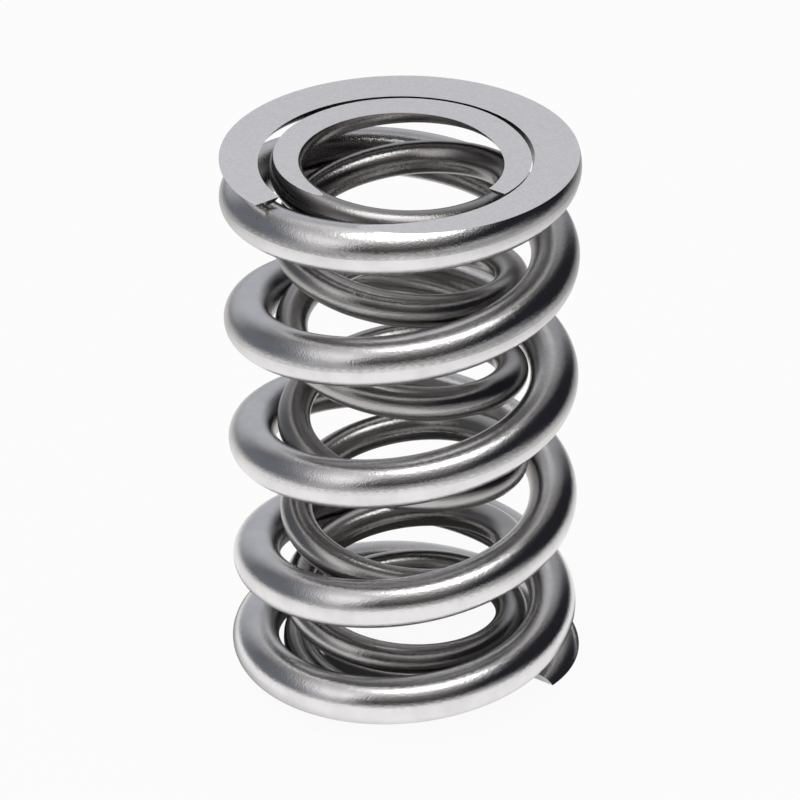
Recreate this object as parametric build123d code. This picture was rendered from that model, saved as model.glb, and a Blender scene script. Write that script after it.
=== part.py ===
from build123d import *
from dataclasses import dataclass
from math import cos, pi, radians, sin
import os

# Engine valve spring, a nested pair of round-wire compression coils.
# The outer coil is wound right-hand and the inner one left-hand, so their turns cross and can't bind.
# Both are closed at each end, where the last turn is laid down beside its neighbour, and both ends are
# ground square to the same two planes, so that the wire thins to a feather at each tip.
# Z is the springs' axis, and the origin is the centre of the lower ground face.
# Lengths are in millimetres, angles in degrees, and stretches of wire in turns counted from a tip.


@dataclass
class End:
    """One end of a coil: how thin its tip is ground, the gap beside its last turn, how far back that turn
    is closed and then opens, and how far the wire flares out of the coil's radius or tucks in at the tip."""

    tip_thickness: float
    closed_gap: float
    closed_turns: float
    opening_turns: float
    flare: float
    flare_turns: float
    tuck: float
    tuck_turns: float


@dataclass
class Coil:
    """A coil spring of round wire. A hand of 1 is right-hand and -1 is left-hand."""

    wire: float
    mean_radius: float
    hand: int
    turns: float
    tip_angle: float
    progression: float
    bottom: End
    top: End


# Driving dimensions of the pair
free_length = 47.8
outer_outside_diameter = 28.95
outer_wire = 3.95
inner_wire = 2.73
nest_clearance = 0.13
# How far both coils lean to the front between their ground faces, as a wound spring is never quite square
lean = 0.27

# The inner coil takes its diameter from the outer coil's bore
outer_mean_radius = (outer_outside_diameter - outer_wire) / 2
outer_bore_radius = outer_mean_radius - outer_wire / 2
inner_mean_radius = outer_bore_radius - nest_clearance - inner_wire / 2

outer_coil = Coil(
    wire=outer_wire,
    mean_radius=outer_mean_radius,
    hand=1,
    turns=5.66,
    tip_angle=-21.5,
    progression=-0.1,
    bottom=End(
        tip_thickness=0.6,
        closed_gap=2.43,
        closed_turns=0.81,
        opening_turns=0.74,
        flare=0.85,
        flare_turns=0.98,
        tuck=1.2,
        tuck_turns=0.1,
    ),
    top=End(
        tip_thickness=0.37,
        closed_gap=0.07,
        closed_turns=0.9,
        opening_turns=0.28,
        flare=0.33,
        flare_turns=0.88,
        tuck=0.0,
        tuck_turns=0.1,
    ),
)

inner_coil = Coil(
    wire=inner_wire,
    mean_radius=inner_mean_radius,
    hand=-1,
    turns=7.18,
    tip_angle=24.4,
    progression=-0.1,
    bottom=End(
        tip_thickness=0.8,
        closed_gap=1.67,
        closed_turns=1.08,
        opening_turns=1.01,
        flare=0.1,
        flare_turns=1.5,
        tuck=0.0,
        tuck_turns=0.1,
    ),
    top=End(
        tip_thickness=0.24,
        closed_gap=0.62,
        closed_turns=0.97,
        opening_turns=0.2,
        flare=0.95,
        flare_turns=0.18,
        tuck=0.0,
        tuck_turns=0.1,
    ),
)

# How finely the centre line of a coil is worked out, and how many lengths each turn is swept in
stations_per_turn = 12
lengths_per_turn = 2


def smooth(t):
    """Rise from 0 to 1 with no jump in slope at either end."""
    t = min(max(t, 0.0), 1.0)
    return t * t * (3 - 2 * t)


def closed_share(end, turns_from_tip):
    """1 in the closed turns at an end, falling to 0 where the coil has opened to its active pitch."""
    return 1 - smooth((turns_from_tip - end.closed_turns) / end.opening_turns)


def stray(end, turns_from_tip):
    """How far the wire lies outside the coil's mean radius near an end."""
    flare = end.flare * (1 - smooth(turns_from_tip / end.flare_turns))
    tuck = end.tuck * (1 - smooth(turns_from_tip / end.tuck_turns))
    return flare - tuck


def centre_heights(coil, steps):
    """Heights of the wire's centre at the stations of a coil, from its bottom tip to its top tip."""
    wire_radius = coil.wire / 2
    first = coil.bottom.tip_thickness - wire_radius
    last = free_length - coil.top.tip_thickness + wire_radius
    step = coil.turns / steps
    closed_rises = []
    active_rises = []
    for index in range(steps):
        turn = (index + 0.5) * step
        at_bottom = closed_share(coil.bottom, turn)
        at_top = closed_share(coil.top, coil.turns - turn)
        bottom_pitch = at_bottom * (coil.wire + coil.bottom.closed_gap)
        top_pitch = at_top * (coil.wire + coil.top.closed_gap)
        progress = 1 + coil.progression * (turn / coil.turns - 0.5)
        closed_rises.append((bottom_pitch + top_pitch) * step)
        active_rises.append((1 - at_bottom - at_top) * progress * step)
    active_pitch = (last - first - sum(closed_rises)) / sum(active_rises)
    heights = [first]
    for closed_rise, active_rise in zip(closed_rises, active_rises):
        heights.append(heights[-1] + closed_rise + active_pitch * active_rise)
    return heights


def centre_line(coil):
    """The smooth curve that the centre of the wire follows, in lengths that each sweep to a simple face."""
    steps = round(coil.turns * stations_per_turn)
    points = []
    for index, height in enumerate(centre_heights(coil, steps)):
        turn = coil.turns * index / steps
        angle = radians(coil.tip_angle) + coil.hand * 2 * pi * turn
        radius = coil.mean_radius + stray(coil.bottom, turn) + stray(coil.top, coil.turns - turn)
        forward = lean * height / free_length
        points.append((radius * cos(angle), radius * sin(angle) - forward, height))
    whole = Spline(points)
    count = round(coil.turns * lengths_per_turn)
    return Wire([whole.trim(index / count, (index + 1) / count) for index in range(count)])


def wound_and_ground(coil):
    """The wire wound along its centre line, then ground square at both ends."""
    path = centre_line(coil)
    section = Plane(origin=path @ 0, z_dir=path % 0) * Circle(coil.wire / 2)
    wound = sweep(section, path=path, is_frenet=True)
    reach = 4 * (coil.mean_radius + coil.wire)
    between_ground_faces = Box(reach, reach, free_length, align=(Align.CENTER, Align.CENTER, Align.MIN))
    return wound & between_ground_faces


outer_spring = wound_and_ground(outer_coil)
inner_spring = wound_and_ground(inner_coil)

os.makedirs("parts", exist_ok=True)
export_step(outer_spring, "parts/outer_spring.step")
export_step(inner_spring, "parts/inner_spring.step")
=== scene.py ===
from functools import reduce
from math import cos, pi, sin

import bpy
from mathutils import Matrix, Vector

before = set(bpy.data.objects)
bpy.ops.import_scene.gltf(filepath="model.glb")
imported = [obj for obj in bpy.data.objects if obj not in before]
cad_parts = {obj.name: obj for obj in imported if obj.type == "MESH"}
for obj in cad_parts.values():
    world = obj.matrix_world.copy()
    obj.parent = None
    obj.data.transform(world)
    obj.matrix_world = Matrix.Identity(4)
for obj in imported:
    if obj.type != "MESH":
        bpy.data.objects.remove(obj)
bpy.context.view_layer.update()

# Lengths are in metres, angles in radians, and colours in linear light, where 1 is white
MM = 0.001
FREE_LENGTH = 47.8 * MM
BLACK = (0.0, 0.0, 0.0)
WHITE = (1.0, 1.0, 1.0)

scene = bpy.context.scene


# Camera: the photograph's angle, distance and framing, with the lens and the sensor in millimetres
CAMERA_ELEVATION = 0.5294
CAMERA_ROLL = 0.0143
CAMERA_DISTANCE = 314.85 * MM
CAMERA_TARGET = Vector((-0.22 * MM, 0.0, 25.08 * MM))
CAMERA_LENS = 171.51
CAMERA_SENSOR = 36.0
CAMERA_NEAR = 0.01
CAMERA_FAR = 20.0


def make_camera():
    """The camera, in front of the pair and above it, turned a little about its line of sight."""
    data = bpy.data.cameras.new("camera")
    data.sensor_width = CAMERA_SENSOR
    data.lens = CAMERA_LENS
    data.clip_start = CAMERA_NEAR
    data.clip_end = CAMERA_FAR
    camera = bpy.data.objects.new("camera", data)
    scene.collection.objects.link(camera)
    back = Vector((0.0, -cos(CAMERA_ELEVATION), sin(CAMERA_ELEVATION)))
    aim = (-back).to_track_quat("-Z", "Y").to_matrix().to_4x4()
    roll = Matrix.Rotation(-CAMERA_ROLL, 4, "Z")
    camera.matrix_world = Matrix.Translation(CAMERA_TARGET + back * CAMERA_DISTANCE) @ aim @ roll
    scene.camera = camera


class Nodes:
    """Makes the nodes of a material or of the world."""

    def __init__(self, owner, output):
        owner.use_nodes = True
        self.tree = owner.node_tree
        self.tree.nodes.clear()
        self.output = self.add(output)

    def add(self, kind, **settings):
        node = self.tree.nodes.new("ShaderNode" + kind)
        for key, value in settings.items():
            setattr(node, key, value)
        return node

    def put(self, value, socket):
        """Sets a socket to a number, a colour or a vector, or links another node's socket to it."""
        if isinstance(value, bpy.types.NodeSocket):
            self.tree.links.new(value, socket)
        elif socket.type == "RGBA":
            socket.default_value = (*value, 1.0)
        else:
            socket.default_value = value

    def put_all(self, values, sockets):
        for value, socket in zip(values, sockets):
            self.put(value, socket)

    def math(self, operation, a, b=0.0):
        node = self.add("Math", operation=operation)
        self.put_all((a, b), node.inputs)
        return node.outputs[0]

    def product(self, values):
        """All of these numbers multiplied together."""
        return reduce(lambda a, b: self.math("MULTIPLY", a, b), values)

    def ramp(self, value, low, high, to_low=0.0, to_high=1.0):
        """Goes smoothly from one number to the other while the value goes from low to high."""
        node = self.add("MapRange", interpolation_type="SMOOTHSTEP")
        self.put_all((value, low, high, to_low, to_high), node.inputs)
        return node.outputs["Result"]

    def blend(self, share, a, b):
        """Goes from colour a to colour b with the share."""
        node = self.add("Mix", data_type="RGBA")
        self.put_all((share, a, b), (node.inputs["Factor"], node.inputs[6], node.inputs[7]))
        return node.outputs[2]

    def mix(self, share, a, b):
        """Goes from number a to number b with the share."""
        node = self.add("Mix", data_type="FLOAT")
        self.put_all((share, a, b), (node.inputs["Factor"], node.inputs[2], node.inputs[3]))
        return node.outputs[0]

    def vector(self, operation, a, *b):
        node = self.add("VectorMath", operation=operation)
        self.put_all((a, *b), node.inputs)
        return node.outputs["Value" if operation in ("DOT_PRODUCT", "LENGTH") else "Vector"]

    def axes(self, place):
        """A place's X, Y and Z."""
        node = self.add("SeparateXYZ")
        self.put(place, node.inputs[0])
        return node.outputs["X"], node.outputs["Y"], node.outputs["Z"]

    def level(self, place):
        """The level direction from the Z axis to a place, with a length of 1."""
        return self.vector("NORMALIZE", self.vector("MULTIPLY", place, (1.0, 1.0, 0.0)))

    def distance(self, place, point):
        return self.vector("LENGTH", self.vector("SUBTRACT", place, point))

    def noise(self, place, scale, detail, roughness):
        node = self.add("TexNoise")
        for key, value in zip(("Vector", "Scale", "Detail", "Roughness"), (place, scale, detail, roughness)):
            self.put(value, node.inputs[key])
        return node.outputs["Fac"]

    def output_of(self, kind, values):
        node = self.add(kind)
        for key, value in values.items():
            self.put(value, node.inputs[key])
        return node.outputs[0]

    def mix_shaders(self, share, a, b):
        node = self.add("MixShader")
        self.put_all((share, a, b), node.inputs)
        return node.outputs[0]

    def surface(self, shader):
        self.put(shader, self.output.inputs["Surface"])


# Steel
STAINED_STEEL = (0.2, 0.19, 0.18)
MOST_STAIN = 0.12
# Painted shade in the slit between the two ground faces
SLIT_PAINTED_SHADE = (0.1, 0.095, 0.095)
GROUND_STEEL = (0.95, 0.945, 0.965)
GROUND_GRAIN = (0.87, 0.865, 0.885)
BROKEN_STEEL = (0.1, 0.085, 0.075)
BROKEN_GLINT = (0.7, 0.67, 0.64)
CUT_STEEL = (0.9, 0.89, 0.88)

WIRE_ROUGHNESS = (0.08, 0.12)
GROUND_ROUGHNESS = (0.6, 0.7)
TIP_ROUGHNESS = 0.4
WIRE_BUMP = 0.42
GROUND_BUMP = 0.3
BUMP_DEPTH = 0.05 * MM
TIP_BUMP_DEPTH = 0.5 * MM

# Each noise's scale, detail and roughness
GRAIN = (6200.0, 3.0, 0.6)
CLOUD = (400.0, 3.0, 0.5)
BREAK = (2500.0, 2.0, 0.5)

# How near a face the steel counts as lying on it, and how far from its middle a tip's cut face reaches
GROUND_DEPTH = 0.01 * MM
FACET_DEPTH = 0.02 * MM
FACET_REACH = 3.0 * MM

# The centre of the wire at each of its two tips, and the way its cut face is turned
OUTER_TIPS = (
    (Vector((11.305, -4.445, -1.375)) * MM, Vector((0.6041, 0.7935, 0.0729))),
    (Vector((-10.367, -7.838, 49.405)) * MM, Vector((0.6105, -0.7905, 0.0488))),
)
INNER_TIPS = (
    (Vector((8.315, 3.775, -0.565)) * MM, Vector((0.4368, -0.8964, 0.0749))),
    (Vector((7.6, -6.745, 48.925)) * MM, Vector((-0.6279, -0.7767, 0.0497))),
)


def on_facet(n, place, point, facing):
    """1 on the cut face that goes through this point and is turned this way."""
    away = n.vector("SUBTRACT", place, point)
    depth = n.math("ABSOLUTE", n.vector("DOT_PRODUCT", away, facing))
    on_face = n.math("LESS_THAN", depth, FACET_DEPTH)
    near = n.math("LESS_THAN", n.vector("LENGTH", away), FACET_REACH)
    return n.product((on_face, near))


def steel(name, wire, inside, tips, slit_side, slit_depth):
    """Polished round wire, with painted shade on the side that faces into the coil and in the slit between the
    two ground faces, satin where it is ground flat, bright where its lower tips are cut and rough where its
    upper tips are broken off.

    The slit is on the coil's inner side (-1) or its outer side (1), down to its depth below the top."""
    material = bpy.data.materials.new(name)
    n = Nodes(material, "OutputMaterial")
    coordinates = n.add("TexCoord")
    place, normal = coordinates.outputs["Object"], coordinates.outputs["Normal"]
    height = n.axes(place)[2]
    outward = n.vector("DOT_PRODUCT", normal, n.level(place))
    grain = n.noise(place, *GRAIN)
    cloud = n.noise(place, *CLOUD)

    # Painted shade: the side that faces into the coil is darkened towards the inside colour.
    wire_colour = n.blend(n.ramp(outward, -0.35, -0.85), wire, inside)
    wire_colour = n.blend(n.ramp(cloud, 0.35, 0.75, 0.0, MOST_STAIN), wire_colour, STAINED_STEEL)
    # Painted shade: the coil's side in the slit, near the top, is darkened.
    into_slit = n.ramp(n.math("MULTIPLY", outward, slit_side), 0.3, 0.75)
    up_slit = n.ramp(height, FREE_LENGTH - slit_depth, FREE_LENGTH - 0.4 * slit_depth)
    wire_colour = n.blend(n.product((into_slit, up_slit)), wire_colour, SLIT_PAINTED_SHADE)
    ground_colour = n.blend(n.ramp(grain, 0.35, 0.65), GROUND_GRAIN, GROUND_STEEL)
    tip_colour = n.blend(n.ramp(n.noise(place, *BREAK), 0.5, 0.6), BROKEN_STEEL, BROKEN_GLINT)
    tip_colour = n.blend(n.math("LESS_THAN", height, FREE_LENGTH / 2), tip_colour, CUT_STEEL)

    above = n.math("GREATER_THAN", height, FREE_LENGTH - GROUND_DEPTH)
    below = n.math("LESS_THAN", height, GROUND_DEPTH)
    ground = n.math("MAXIMUM", above, below)
    at_tip = n.math("MAXIMUM", *[on_facet(n, place, point, facing) for point, facing in tips])
    colour = n.blend(at_tip, n.blend(ground, wire_colour, ground_colour), tip_colour)
    wire_roughness = n.ramp(cloud, 0.3, 0.7, *WIRE_ROUGHNESS)
    ground_roughness = n.ramp(grain, 0.3, 0.7, *GROUND_ROUGHNESS)
    roughness = n.mix(at_tip, n.mix(ground, wire_roughness, ground_roughness), TIP_ROUGHNESS)
    bump = n.output_of("Bump", {
        "Strength": n.mix(ground, WIRE_BUMP, GROUND_BUMP),
        "Distance": n.mix(at_tip, BUMP_DEPTH, TIP_BUMP_DEPTH),
        "Height": grain,
    })
    n.surface(n.output_of("BsdfPrincipled", {
        "Base Color": colour,
        "Metallic": 1.0,
        "Roughness": roughness,
        "Normal": bump,
    }))
    return material


def dress(node, material):
    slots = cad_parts[node].data.materials
    slots.clear()
    slots.append(material)


# Studio, as the wire mirrors it. Each measure tells how far a direction leans one way, from -1 to 1,
# and the level ones leave its height out.
LEVEL_MEASURES = {
    "level_back": (0.0, 1.0, 0.0),
    "level_front": (0.1, -0.995, 0.0),
    "level_back_right": (0.707, 0.707, 0.0),
    "past_panel_edge": (-0.766, 0.643, 0.0),
}
ACROSS_PANEL = (0.707, -0.634, 0.314)

# The walls low down, and the patches laid over them in turn: each one's colour, and the measures that it
# fades in with, from the first number to the second. Where two more numbers follow, they are its shares there.
LOW_WALL = (0.038, 0.034, 0.032)
PATCHES = (
    # Lighter walls higher up
    ((0.22, 0.21, 0.205), [("up", 0.25, 0.8)]),
    # The left side, the dark right side, and the pale wall behind
    ((0.15, 0.16, 0.18), [("right", -0.4, -0.9)]),
    ((0.017, 0.017, 0.022), [("right", 0.25, 0.65)]),
    ((0.47, 0.48, 0.51), [("back", 0.55, 0.95), ("right", 0.7, 0.25)]),
    # High up behind, and low down in front
    ((0.6, 0.6, 0.61), [("level_back", 0.6, 0.95), ("up", 0.55, 0.8), ("right", 0.25, -0.1)]),
    ((0.5, 0.5, 0.5), [("up", 0.32, -0.06), ("back", 0.1, -0.7)]),
    # A lit panel at the left, dimmer at its top
    ((1.0, 0.97, 0.98), [
        ("past_panel_edge", -0.1, 0.08),
        ("across_panel", -0.5, -0.05),
        ("right", 0.0, -0.2),
        ("up", -0.1, 0.65),
        ("up", 0.7, 0.93, 1.0, 0.4),
    ]),
    # Light round the softbox, and more of it in front
    ((0.6, 0.6, 0.6), [("up", 0.9, 0.97), ("level_back_right", 0.75, 0.4)]),
    ((0.66, 0.65, 0.65), [("up", 0.7, 0.87), ("level_front", 0.2, 0.95)]),
)


def make_world():
    """The studio's walls for the metal, and plain white for the camera."""
    world = bpy.data.worlds.new("studio")
    n = Nodes(world, "OutputWorld")
    direction = n.add("TexCoord").outputs["Generated"]
    measures = dict(zip(("right", "back", "up"), n.axes(direction)))
    measures["across_panel"] = n.vector("DOT_PRODUCT", direction, ACROSS_PANEL)
    level = n.level(direction)
    for name, towards in LEVEL_MEASURES.items():
        measures[name] = n.vector("DOT_PRODUCT", level, towards)
    walls = LOW_WALL
    for colour, fades in PATCHES:
        share = n.product([n.ramp(measures[name], *limits) for name, *limits in fades])
        walls = n.blend(share, walls, colour)
    room = n.output_of("Background", {"Color": walls})
    white = n.output_of("Background", {"Color": WHITE})
    n.surface(n.mix_shaders(n.add("LightPath").outputs["Is Camera Ray"], room, white))
    scene.world = world


# Floor: a matt white that takes the shadow, with a glow over it. The glow's strength is one number for the
# camera and another for the metal.
FLOOR_HALF = 0.6
FLOOR_DROP = 0.02 * MM
FLOOR_MATT = (0.85, 0.85, 0.85)
GLOW_SEEN = 0.94
GLOW_MIRRORED = 0.95

# The glow in the metal is painted light: it is painted to fall off with distance, to the right and behind, and
# painted dark as a shadow under the pair and under the outer coil's lower tip. What dims it: a measure, the two
# lengths it goes between, and the shares there
MIRRORED_FLOOR = (1.0, 0.985, 0.98)
SHADOW_MIDDLE = (-0.002, 0.006, 0.0)
# The middle of the painted shadow under the outer coil's lower tip
LOWER_TIP = (0.0145, 0.003, 0.0)
FLOOR_FADES = (
    ("far", 0.05, 0.42, 1.0, 0.38),
    ("right", 0.0, 0.12, 1.0, 0.5),
    ("right", -0.2, 0.0, 0.6, 1.0),
    ("back", 0.0, 0.07, 1.0, 0.65),
    ("from_shadow", 0.011, 0.022, 0.05, 1.0),
    ("from_tip", 0.003, 0.009, 0.05, 1.0),
)

# A patch of floor inside the bore that is black to the camera. It stands in for the dark that the photograph
# shows in a gap between the turns there, and from above it shows as a smudge.
# Painted shadow: the patch is painted near black, for the camera only.
DARK_PATCH = (0.01, 0.01, 0.01)
DARK_PATCH_MIDDLE = (-0.0045, -0.003, 0.0)
DARK_PATCH_EDGE = (0.0035, 0.0052)


def make_floor():
    """A floor that is white to the camera with a faint shadow and a patch of painted shadow, and whose glow in
    the metal is painted light with painted shadows that falls off with distance.
    """
    mesh = bpy.data.meshes.new("floor")
    corners = [(x * FLOOR_HALF, y * FLOOR_HALF, 0) for x, y in ((-1, -1), (1, -1), (1, 1), (-1, 1))]
    mesh.from_pydata(corners, [], [(0, 1, 2, 3)])
    floor = bpy.data.objects.new("floor", mesh)
    floor.location.z = -FLOOR_DROP
    scene.collection.objects.link(floor)

    material = bpy.data.materials.new("floor_white")
    n = Nodes(material, "OutputMaterial")
    place = n.add("TexCoord").outputs["Object"]
    measures = dict(zip(("right", "back"), n.axes(place)))
    measures["far"] = n.vector("LENGTH", place)
    measures["from_shadow"] = n.distance(place, SHADOW_MIDDLE)
    measures["from_tip"] = n.distance(place, LOWER_TIP)
    painted_light_and_shadow = n.product([n.ramp(measures[name], *limits) for name, *limits in FLOOR_FADES])
    mirrored = n.blend(painted_light_and_shadow, BLACK, MIRRORED_FLOOR)
    off_patch = n.ramp(n.distance(place, DARK_PATCH_MIDDLE), *DARK_PATCH_EDGE)
    seen = n.blend(off_patch, DARK_PATCH, WHITE)

    path = n.add("LightPath")
    camera_ray, mirrored_ray = path.outputs["Is Camera Ray"], path.outputs["Is Glossy Ray"]
    matt = n.output_of("BsdfDiffuse", {"Color": FLOOR_MATT})
    glow = n.output_of("Emission", {"Color": n.blend(camera_ray, mirrored, seen), "Strength": 1.0})
    glow_seen = n.math("MULTIPLY", camera_ray, GLOW_SEEN)
    glow_mirrored = n.math("MULTIPLY", mirrored_ray, GLOW_MIRRORED)
    n.surface(n.mix_shaders(n.math("ADD", glow_seen, glow_mirrored), matt, glow))
    mesh.materials.append(material)


# Overhead softbox: a round flat light that shines straight down
SOFTBOX_PLACE = Vector((0.022, -0.035, 0.625))
SOFTBOX_ACROSS = 0.465
SOFTBOX_BRIGHTNESS = 2.2


def make_softbox():
    """The softbox. The energy that gives a flat light's face a brightness is that, times pi, times its area."""
    data = bpy.data.lights.new("overhead_softbox", "AREA")
    data.shape = "DISK"
    data.size = SOFTBOX_ACROSS
    data.energy = SOFTBOX_BRIGHTNESS * pi * pi * (SOFTBOX_ACROSS / 2) ** 2
    light = bpy.data.objects.new("overhead_softbox", data)
    light.location = SOFTBOX_PLACE
    light.rotation_mode = "QUATERNION"
    light.rotation_quaternion = Vector((0.0, 0.0, -1.0)).to_track_quat("-Z", "Y")
    scene.collection.objects.link(light)


make_camera()
dress("outer_spring", steel(
    "outer_steel",
    wire=(0.83, 0.825, 0.83),
    inside=(0.34, 0.33, 0.32),
    tips=OUTER_TIPS,
    slit_side=-1.0,
    slit_depth=3.5 * MM,
))
# The inner coil's wire colour is painted shade: the same steel as the outer coil, made darker as it stands in
# the outer coil's shade.
dress("inner_spring", steel(
    "inner_steel",
    wire=(0.49, 0.48, 0.475),
    inside=(0.36, 0.35, 0.34),
    tips=INNER_TIPS,
    slit_side=1.0,
    slit_depth=1.4 * MM,
))
make_world()
make_floor()
make_softbox()

scene.view_settings.view_transform = "Standard"
